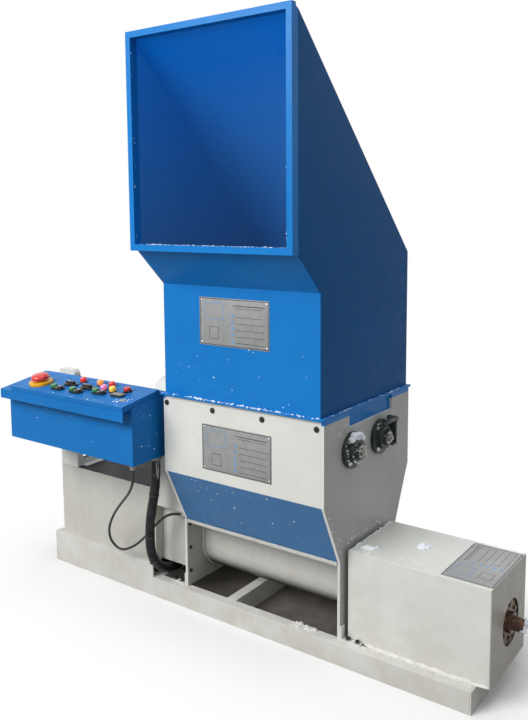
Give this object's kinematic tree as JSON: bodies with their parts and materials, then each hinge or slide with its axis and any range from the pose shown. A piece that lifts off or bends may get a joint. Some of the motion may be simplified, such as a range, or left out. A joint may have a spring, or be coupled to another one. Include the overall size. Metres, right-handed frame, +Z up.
{
  "type": "foam hot melting machine",
  "caption": "Foam densifier with a tall slanted feed hopper, twin toothed crusher rotors, heated screw barrel with nozzle, drive housing and hinged control desk.",
  "frame": {"origin": "on the floor under the middle cross member of the base, on that member's underside", "axes": "+X along the base towards the nozzle, +Y towards the back, +Z up; the feed mouth faces -Y"},
  "size_m": [1.839, 0.7427, 1.961],
  "materials": {
    "grey_paint": "satin light grey enamel",
    "plate_grey": "satin mid grey enamel",
    "blue_paint": "gloss blue enamel",
    "box_blue": "satin blue enamel",
    "dark_cast": "dark green machine paint",
    "worked_steel": "machined steel",
    "hot_steel": "heat tinted steel",
    "zinc": "zinc plated",
    "yellow_plastic": "matte yellow",
    "red_plastic": "gloss red",
    "green_plastic": "gloss green",
    "black_plastic": "matte black",
    "lamp_plastic": "translucent lens",
    "cable_rubber": "matte black sheath",
    "wrapped_cable": "wrapped with black tape"
  },
  "bodies": {
    "root": {"base_front_rail": "grey_paint", "base_rear_rail": "grey_paint", "base_end_members": "grey_paint", "base_cross_members": "grey_paint", "drive_bed_channels": "grey_paint", "left_side_plate": "plate_grey", "right_side_plate": "plate_grey", "shaft_slot_covers": "blue_paint", "body_front_panel": "grey_paint", "body_rear_panel": "grey_paint", "lower_front_panel": "blue_paint", "lower_rear_panel": "blue_paint", "trough_flange": "worked_steel", "screw_trough": "blue_paint", "foot_brackets": "zinc", "melt_barrel": "worked_steel", "head_flange": "hot_steel", "nozzle": "hot_steel", "heater_cover": "grey_paint", "heater_end_plate": "grey_paint", "heater_inner_plate": "grey_paint", "hopper_left_wall": "blue_paint", "hopper_right_wall": "blue_paint", "hopper_front_panel": "blue_paint", "hopper_rear_panel": "blue_paint", "mouth_frame": "blue_paint", "hopper_flange": "blue_paint", "bearing_bolts": "zinc", "bearing_right_front": "dark_cast", "bearing_right_rear": "dark_cast", "left_bearings": "dark_cast", "drive_cover_front": "grey_paint", "drive_cover_rear": "grey_paint", "drive_cover_shell": "grey_paint", "control_post": "grey_paint", "drive_guard": "grey_paint", "coupling_cover": "grey_paint", "coupling_pedestal": "plate_grey", "control_box": "box_blue", "control_box_brackets": "grey_paint", "lid_hinges": "zinc", "cable_fittings": "black_plastic", "loop_cable": "cable_rubber", "cable_conduit": "wrapped_cable"},
    "front_rotor": {"front_rotor_shaft": "worked_steel", "front_rotor_blades": "worked_steel"},
    "rear_rotor": {"rear_rotor_shaft": "worked_steel", "rear_rotor_blades": "worked_steel"},
    "lid": {"control_lid": "box_blue", "estop_ring": "yellow_plastic", "switch_bezels": "black_plastic", "selector_switches": "black_plastic", "indicator_lamps": "lamp_plastic", "lid_lock": "zinc"},
    "emergency_stop": {"estop_head": "red_plastic"},
    "left_start": {"start_button_left": "green_plastic"},
    "middle_start": {"start_button_middle": "green_plastic"},
    "right_start": {"start_button_right": "green_plastic"},
    "red_push": {"red_button": "red_plastic"}
  },
  "joints": [
    {"name": "front_rotor_spin", "type": "hinge", "parent": "root", "child": "front_rotor", "pos_m": [0, -0.124, 0.67], "axis": [1, 0, 0], "continuous": true},
    {"name": "rear_rotor_spin", "type": "hinge", "parent": "root", "child": "rear_rotor", "pos_m": [0, 0.06, 0.67], "axis": [1, 0, 0], "continuous": true},
    {"name": "lid_hinge", "type": "hinge", "parent": "root", "child": "lid", "pos_m": [-0.524, -0.26129, 0.7929], "axis": [-1, 0, 0], "range_deg": [0, 100]},
    {"name": "estop_press", "type": "slide", "parent": "lid", "child": "emergency_stop", "axis": [0, 0.1513, -0.9885], "range_m": [0, 0.006], "stiffness_N_per_m": 1500, "springref_m": -0.006},
    {"name": "left_start_press", "type": "slide", "parent": "lid", "child": "left_start", "axis": [0, 0.1513, -0.9885], "range_m": [0, 0.003], "stiffness_N_per_m": 800, "springref_m": -0.003},
    {"name": "middle_start_press", "type": "slide", "parent": "lid", "child": "middle_start", "axis": [0, 0.1513, -0.9885], "range_m": [0, 0.003], "stiffness_N_per_m": 800, "springref_m": -0.003},
    {"name": "right_start_press", "type": "slide", "parent": "lid", "child": "right_start", "axis": [0, 0.1513, -0.9885], "range_m": [0, 0.003], "stiffness_N_per_m": 800, "springref_m": -0.003},
    {"name": "red_button_press", "type": "slide", "parent": "lid", "child": "red_push", "axis": [0, 0.1513, -0.9885], "range_m": [0, 0.003], "stiffness_N_per_m": 800, "springref_m": -0.003}
  ],
  "couplings": [
    {"joint": "rear_rotor_spin", "follows": "front_rotor_spin", "ratio": -1}
  ]
}
